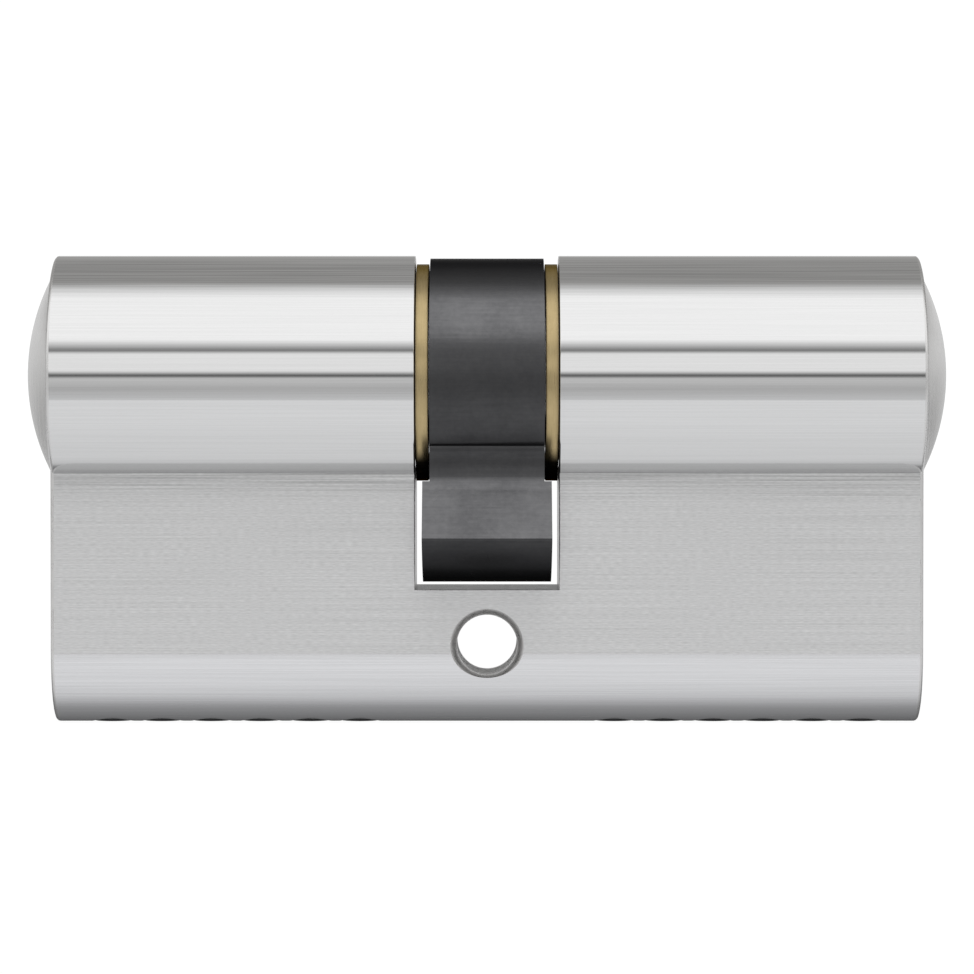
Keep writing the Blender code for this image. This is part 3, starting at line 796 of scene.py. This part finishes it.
# %% Sintered steel
def sintered_steel():
    """Pressed powder: small dark pores in a grey metal."""
    material, tree, shader = new_finish("clutch_sintered_steel", (0.36, 0.36, 0.37), 0.42)
    pores = grain(tree, (6500, 6500, 6500), 5, 0.7)
    tone = ranged(tree, pores, 0, 1, 0.36, 0.56)
    tree.links.new(tinted(tree, tone, (0.2, 0.2, 0.205), (0.4, 0.4, 0.41)), shader.inputs["Base Color"])
    tree.links.new(ranged(tree, pores, 0.5, 0.36), shader.inputs["Roughness"])
    bumped(tree, shader, tone, 0.000006)
    return material


SINTERED_STEEL = sintered_steel()
TONGUE_REACH = 4.2
TONGUE_LENGTH = 1.25


def eared_disc(low, high):
    """A disc between two ears that run in the cam's ways."""
    reach_out = CLUTCH_RADIUS + EAR_REACH
    rise = math.degrees(math.acos(EAR_HALF / CLUTCH_RADIUS))
    right = arc((0, 0), CLUTCH_RADIUS, 180 - rise, 180 + rise, 40)
    left = arc((0, 0), CLUTCH_RADIUS, -rise, rise, 40)
    outline = right + [(-reach_out, EAR_HALF), (-reach_out, -EAR_HALF)]
    outline += left + [(reach_out, -EAR_HALF), (reach_out, EAR_HALF)]
    return moved(milled(outline, low, high), TILT)


for side, way in (("outer", -1), ("inner", 1)):
    low, high = around_axis(side + "_clutch")
    disc = (low.x + TONGUE_LENGTH, high.x) if way < 0 else (low.x, high.x - TONGUE_LENGTH)
    tip, root = (low.x, sum(disc) / 2) if way < 0 else (high.x, sum(disc) / 2)
    tongue = block((min(tip, root), -TONGUE_HALF, -TONGUE_REACH), (max(tip, root), TONGUE_HALF, TONGUE_REACH))
    half_clutch = soften(carved(eared_disc(*disc), tongue, 'UNION'), IRON_BREAK, 2)
    made = finished(half_clutch, side + "_clutch", [SINTERED_STEEL])
    print(made.name, len(made.data.polygons), "faces")

# %% [markdown]
# ## Pins, springs and chamber plugs
#
# In each chamber a spring pushes a driver and a key pin up into the plug, and a small pressed plug
# closes the hole at the foot. All twelve stacks come from four makers in one loop. A pin is turned
# brass with rounded ends, and its length is read from the frame, so each key pin keeps the cut that
# its key needs.

# %% Finishes for the small pieces
def small_metal(name, colour, roughness, cells, contrast, depth, metallic=1.0):
    """A metal with fine marks of its own, for pieces that are only a few millimetres long."""
    material, tree, shader = new_finish(name, colour, roughness, metallic)
    marks = grain(tree, cells, 4, 0.6)
    tone = ranged(tree, marks, 0, 1, 0.35, 0.65)
    dark = [c * (1 - contrast) for c in colour]
    tree.links.new(tinted(tree, tone, dark, colour), shader.inputs["Base Color"])
    tree.links.new(ranged(tree, marks, roughness * 0.8, roughness * 1.25), shader.inputs["Roughness"])
    bumped(tree, shader, marks, depth)
    return material


PIN_BRASS = small_metal("pin_turned_brass", (0.78, 0.60, 0.28), 0.22, (900, 900, 14000), 0.12, 0.0000015)
SPRING_STEEL = small_metal("spring_drawn_wire", (0.60, 0.60, 0.61), 0.28, (5000, 5000, 5000), 0.15, 0.000001)
# The chamber plugs are coloured near black: painted shade under the foot, where they face the table.
DARK_STEEL = small_metal("chamber_plug_painted_shade", (0.07, 0.07, 0.072), 0.45, (4500, 4500, 4500), 0.4,
                         0.000004)


def standing(profile, steps=FACET_STEPS):
    """Spin a half section of (height, radius) points and stand it upright."""
    return moved(turned(profile, steps), UPRIGHT)


def box_of(node):
    """The middle along the barrel, the radius, and the lowest and highest points of a small round piece."""
    low, high = around_axis(node)
    return (low.x + high.x) / 2, (high.x - low.x) / 2, low.z, high.z


# %% The four makers
KEY_PIN_TIP = 0.95
PIN_EDGE = 0.28
PIN_FOOT_EDGE = 0.476
KEY_PIN_BREAK = 0.1
DRIVER_BREAK = 0.08
WIRE_RADIUS = 0.21
OPEN_TURNS = 4
CLOSED_PITCH = 1.06


def key_pin(radius, low, high):
    """A pin with a conical top that rides in the key's cuts."""
    profile = [(low, 0), (low, radius - PIN_FOOT_EDGE), (low + PIN_EDGE, radius),
               (high - KEY_PIN_TIP, radius), (high, radius - KEY_PIN_TIP), (high, 0)]
    return soften(standing(profile), KEY_PIN_BREAK, 2, angle=20)


def driver(radius, low, high):
    """A plain pin with both ends broken."""
    profile = [(low, 0), (low, radius - PIN_FOOT_EDGE), (low + PIN_EDGE, radius),
               (high - PIN_EDGE, radius), (high, radius - PIN_EDGE), (high, 0)]
    return soften(standing(profile), DRIVER_BREAK, 2, angle=20)


def chamber_plug(radius, low, high):
    """A slug pressed into the foot, with a broken edge and the dimple of the press pin."""
    edge, dimple = 0.12, 0.1
    profile = [(low + dimple, 0), (low, radius / 3), (low, radius - edge), (low + edge, radius),
               (high - edge, radius), (high, radius - edge), (high, 0)]
    return standing(profile)


def spring(radius, low, high, steps=20):
    """Round wire: a closed turn at each end, and the open turns between them."""
    bm = bmesh.new()
    coil = radius - WIRE_RADIUS
    wire = bmesh.ops.create_circle(bm, cap_ends=True, segments=8, radius=WIRE_RADIUS)
    start = Matrix.Translation((coil, 0, low + WIRE_RADIUS)) @ Matrix.Rotation(math.radians(90), 4, 'X')
    bmesh.ops.transform(bm, matrix=start, verts=wire["verts"])
    closed = 2 * WIRE_RADIUS * CLOSED_PITCH
    rise = high - low - 2 * WIRE_RADIUS - 2 * closed
    end = first_cap = bm.faces[:]
    for turns, climb in ((1, closed), (OPEN_TURNS, rise), (1, closed)):
        swept = bmesh.ops.spin(bm, geom=end, cent=(0, 0, 0), axis=(0, 0, 1), angle=math.tau * turns,
                               steps=steps * turns, dvec=(0, 0, climb / (steps * turns)))
        if end is not first_cap:
            bmesh.ops.delete(bm, geom=end, context='FACES_ONLY')
        end = [item for item in swept["geom_last"] if isinstance(item, bmesh.types.BMFace)]
    return bm


# %% All twelve stacks
MAKERS = (("key_pin", key_pin, "pin_brass", PIN_BRASS), ("driver", driver, "pin_brass", PIN_BRASS),
          ("spring", spring, "spring_steel", SPRING_STEEL),
          ("chamber_plug", chamber_plug, "chamber_plug_dark", DARK_STEEL))
made_faces = 0
for side in ("outer", "inner"):
    for count in range(1, PIN_COUNT + 1):
        for kind, maker, slot, finish in MAKERS:
            node = f"{side}_{kind}_{count}"
            x, radius, low, high = box_of(node)
            piece = finished(maker(radius, low, high), node, [finish], x=x)
            if kind == "spring":
                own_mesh(piece)
            made_faces += len(piece.data.polygons)
print("pins, springs and chamber plugs:", made_faces, "faces")

# %% [markdown]
# ## Light, floor and camera
#
# Nickel looks like whatever surrounds it, so the room is the real paint here. The studio is drawn as
# a world whose brightness depends only on the angle round the barrel: a broad soft light above the
# camera, thin gaps beside it, a pale table below and a dimmer back. Towards the ends of the barrel
# the bands fade into an even grey, which leaves the domes soft.

# %% The studio round the barrel
COOL, PLAIN, WARM = -0.015, 0.0, 0.02

# What stands there, its lower and upper edge in degrees (0 is the horizon, 90 is overhead), its grey
# level and its tint. Between one edge and the next the studio blends, as soft lamps and cards do.
FRONT = (
    ("table in the cylinder's own shade", -90, -90, 0.80, COOL),
    ("lit table", -75, -50, 1.00, COOL),
    ("far half of the table", -30, -30, 0.90, COOL),
    ("shade at its far edge", -13, -13, 0.60, PLAIN),
    ("low card", -6, -3, 0.75, PLAIN),
    ("dark gap over the card", -1, 0, 0.15, PLAIN),
    ("strip light", 4, 20, 1.15, PLAIN),
    ("dark gap over the strip", 23, 24, 0.30, PLAIN),
    ("big overhead light", 34, 80, 1.35, PLAIN),
    ("white ceiling", 90, 90, 1.00, PLAIN),
)
BACK = (
    ("table in the cylinder's own shade", -90, -90, 0.80, COOL),
    ("dark foot of the back wall", -60, -25, 0.10, PLAIN),
    ("pale rail", 5, 12, 0.80, PLAIN),
    ("grey back wall", 18, 80, 0.45, WARM),
    ("white ceiling", 90, 90, 1.00, PLAIN),
)
END_GREY = 0.7
END_STARTS = 0.97
END_WHOLE = 1.0


def edges_of(cards):
    """The lower and upper edge of each card or lamp, as shares of the way from straight below to overhead."""
    edges = []
    for _what, low, high, level, tint in cards:
        edges += [((height + 90) / 180, level, tint) for height in sorted({low, high})]
    return edges


def graded(tree, share, stops_of):
    """A colour ramp from places, each with a grey level and a tint."""
    bands = add(tree, "ValToRGB", Fac=share)
    stops = bands.color_ramp.elements
    while len(stops) < len(stops_of):
        stops.new(0.5)
    for stop, (place, level, tint) in zip(stops, stops_of):
        stop.position = place
        stop.color = (level * (1 + tint / 2), level, level * (1 - tint), 1)
    return bands.outputs["Color"]


def studio():
    """The world: bands round the X axis, an even grey at its two ends, and white behind everything."""
    world = bpy.data.worlds.new("studio")
    bpy.context.scene.world = world
    world.use_nodes = True
    tree = world.node_tree
    tree.nodes.clear()
    way = add(tree, "TexCoord").outputs["Generated"]
    parts = add(tree, "SeparateXYZ", Vector=way)
    level = combined(tree, 'ABSOLUTE', parts.outputs["Y"], 0.0)
    height = combined(tree, 'ARCTAN2', parts.outputs["Z"], level)
    share = ranged(tree, height, 0, 1, -math.pi / 2, math.pi / 2)
    front, back = [graded(tree, share, edges_of(side)) for side in (FRONT, BACK)]
    behind = combined(tree, 'GREATER_THAN', parts.outputs["Y"], 0.0)
    around = mixed(tree, behind, front, back)
    endwise = combined(tree, 'ABSOLUTE', parts.outputs["X"], 0.0)
    fade = ranged(tree, endwise, 0, 1, END_STARTS, END_WHOLE)
    light = mixed(tree, fade, around, (END_GREY, END_GREY, END_GREY, 1))
    seen = add(tree, "LightPath").outputs["Is Camera Ray"]
    shown = mixed(tree, seen, light, (1.05, 1.05, 1.05, 1))
    glow = add(tree, "Background", Color=shown, Strength=1.0)
    add(tree, "OutputWorld", Surface=glow.outputs["Background"])


studio()
print("studio:", len(FRONT), "cards and lamps in front,", len(BACK), "behind")

# %% The floor
FLOOR_WIDE = 3.0
FLOOR_GLOW = 0.93


def floor():
    """A pale sheet under the cylinder. It glows to the camera, and metal reflects the studio instead."""
    bm = bmesh.new()
    bmesh.ops.create_grid(bm, x_segments=1, y_segments=1, size=FLOOR_WIDE / 2)
    moved(bm, Matrix.Translation((0, 0, cad_low.z)))
    sheet = bpy.data.objects.new("floor", mesh_of(bm, "floor"))
    bpy.context.scene.collection.objects.link(sheet)
    material, tree, shader = new_finish("pale_floor", (0.9, 0.9, 0.9), 0.9, metallic=0.0)
    glow = add(tree, "Emission", Color=(1, 1, 1, 1), Strength=1.04)
    seen = add(tree, "LightPath").outputs["Is Camera Ray"]
    share = combined(tree, 'MULTIPLY', seen, FLOOR_GLOW)
    lit = add(tree, "MixShader", _0=share, _1=shader.outputs["BSDF"], _2=glow.outputs["Emission"])
    clear = add(tree, "BsdfTransparent")
    under = add(tree, "NewGeometry").outputs["Backfacing"]
    whole = add(tree, "MixShader", _0=under, _1=lit.outputs["Shader"], _2=clear.outputs["BSDF"])
    tree.links.new(whole.outputs["Shader"], tree.nodes["Material Output"].inputs["Surface"])
    sheet.data.materials.append(material)
    sheet.visible_glossy = False
    sheet.visible_shadow = False
    sheet.visible_diffuse = False
    sheet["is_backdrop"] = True
    return sheet


floor()

# %% [markdown]
# Two helpers finish the light. The metal also mirrors the table it rests on, which darkens towards
# the line where the foot touches it, so a sheet that only reflections see carries that shadow. And
# oil on the black cam makes its highlight stronger than its colour gives, so the cam alone gets one
# more soft lamp in the place of the overhead light.

# %% The table in reflections
# Millimetres from the middle of the foot, and the grey level there
SHADOW_REACH = 30.0
SHADOW = ((0.0, 0.05), (3.0, 0.35), (4.5, 0.75), (7.0, 0.90), (30.0, 1.0))
TABLE_HALF = (0.2, 0.06)


def table():
    """A sheet under the foot, seen by reflections only, with a contact shadow along its middle."""
    bm = bmesh.new()
    bmesh.ops.create_grid(bm, x_segments=1, y_segments=1, size=1.0)
    moved(bm, Matrix.Diagonal((*TABLE_HALF, 1, 1)), Matrix.Translation((0, 0, cad_low.z - 0.05 * MM)))
    sheet = bpy.data.objects.new("table_in_reflections", mesh_of(bm, "table"))
    bpy.context.scene.collection.objects.link(sheet)
    material = bpy.data.materials.new("contact_shadow")
    material.use_nodes = True
    tree = material.node_tree
    tree.nodes.clear()
    parts = add(tree, "SeparateXYZ", Vector=add(tree, "TexCoord").outputs["Object"])
    away = combined(tree, 'ABSOLUTE', parts.outputs["Y"], 0.0)
    share = ranged(tree, away, 0, 1, 0.0, SHADOW_REACH * MM)
    shade = graded(tree, share, [(distance / SHADOW_REACH, level, -0.01) for distance, level in SHADOW])
    glow = add(tree, "Emission", Color=shade, Strength=1.0)
    add(tree, "OutputMaterial", Surface=glow.outputs["Emission"])
    sheet.data.materials.append(material)
    sheet.visible_camera = sheet.visible_diffuse = sheet.visible_shadow = False
    sheet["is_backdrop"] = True
    return sheet


table()

# %% The cam's own lamp
CAM_LAMP_ANGLE = 60.0
CAM_LAMP_DISTANCE = 0.25
CAM_LAMP_SIZE = (0.6, 0.215)
CAM_LAMP_GLOW = 2.0


def cam_lamp(receiver):
    """A wide soft lamp over the front, whose light reaches one piece only."""
    lamp = bpy.data.lights.new("cam_lamp", 'AREA')
    lamp.shape, (lamp.size, lamp.size_y) = 'RECTANGLE', CAM_LAMP_SIZE
    lamp.energy = CAM_LAMP_GLOW * math.pi * lamp.size * lamp.size_y
    stand = bpy.data.objects.new("cam_lamp", lamp)
    bpy.context.scene.collection.objects.link(stand)
    angle = math.radians(CAM_LAMP_ANGLE)
    forward, up = CAM_LAMP_DISTANCE * math.cos(angle), CAM_LAMP_DISTANCE * math.sin(angle)
    stand.location = (0, -forward, AXIS_HEIGHT + up)
    stand.rotation_euler = (math.radians(90) - angle, 0, 0)
    stand.visible_camera = False
    only = bpy.data.collections.new("cam_only")
    only.objects.link(receiver)
    stand.light_linking.receiver_collection = only
    return stand


cam_lamp(bpy.data.objects["cam_finished"])

# %% The camera
CAMERA_DISTANCE = 0.300
CAMERA_HEIGHT = 0.0160
CAMERA_AIM = 0.0110
CAMERA_LENS = 156.2

eye = bpy.data.cameras.new("front_camera")
eye.lens = CAMERA_LENS
eye.clip_start, eye.clip_end = 0.01, 20.0
camera = bpy.data.objects.new("front_camera", eye)
bpy.context.scene.collection.objects.link(camera)
camera.location = (0, -CAMERA_DISTANCE, CAMERA_HEIGHT)
camera.rotation_euler = (math.radians(90) - math.atan2(CAMERA_HEIGHT - CAMERA_AIM, CAMERA_DISTANCE), 0, 0)
bpy.context.scene.camera = camera
bpy.context.scene.view_settings.view_transform = 'Standard'
print("camera", tuple(round(v, 3) for v in camera.location))

# %% [markdown]
# ## The final size
#
# The box of the finished model is printed, in millimetres.

# %% The finished size
bpy.context.view_layer.update()
low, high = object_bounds()
print("final size in mm:", [round((b - a) / MM, 2) for a, b in zip(low, high)])
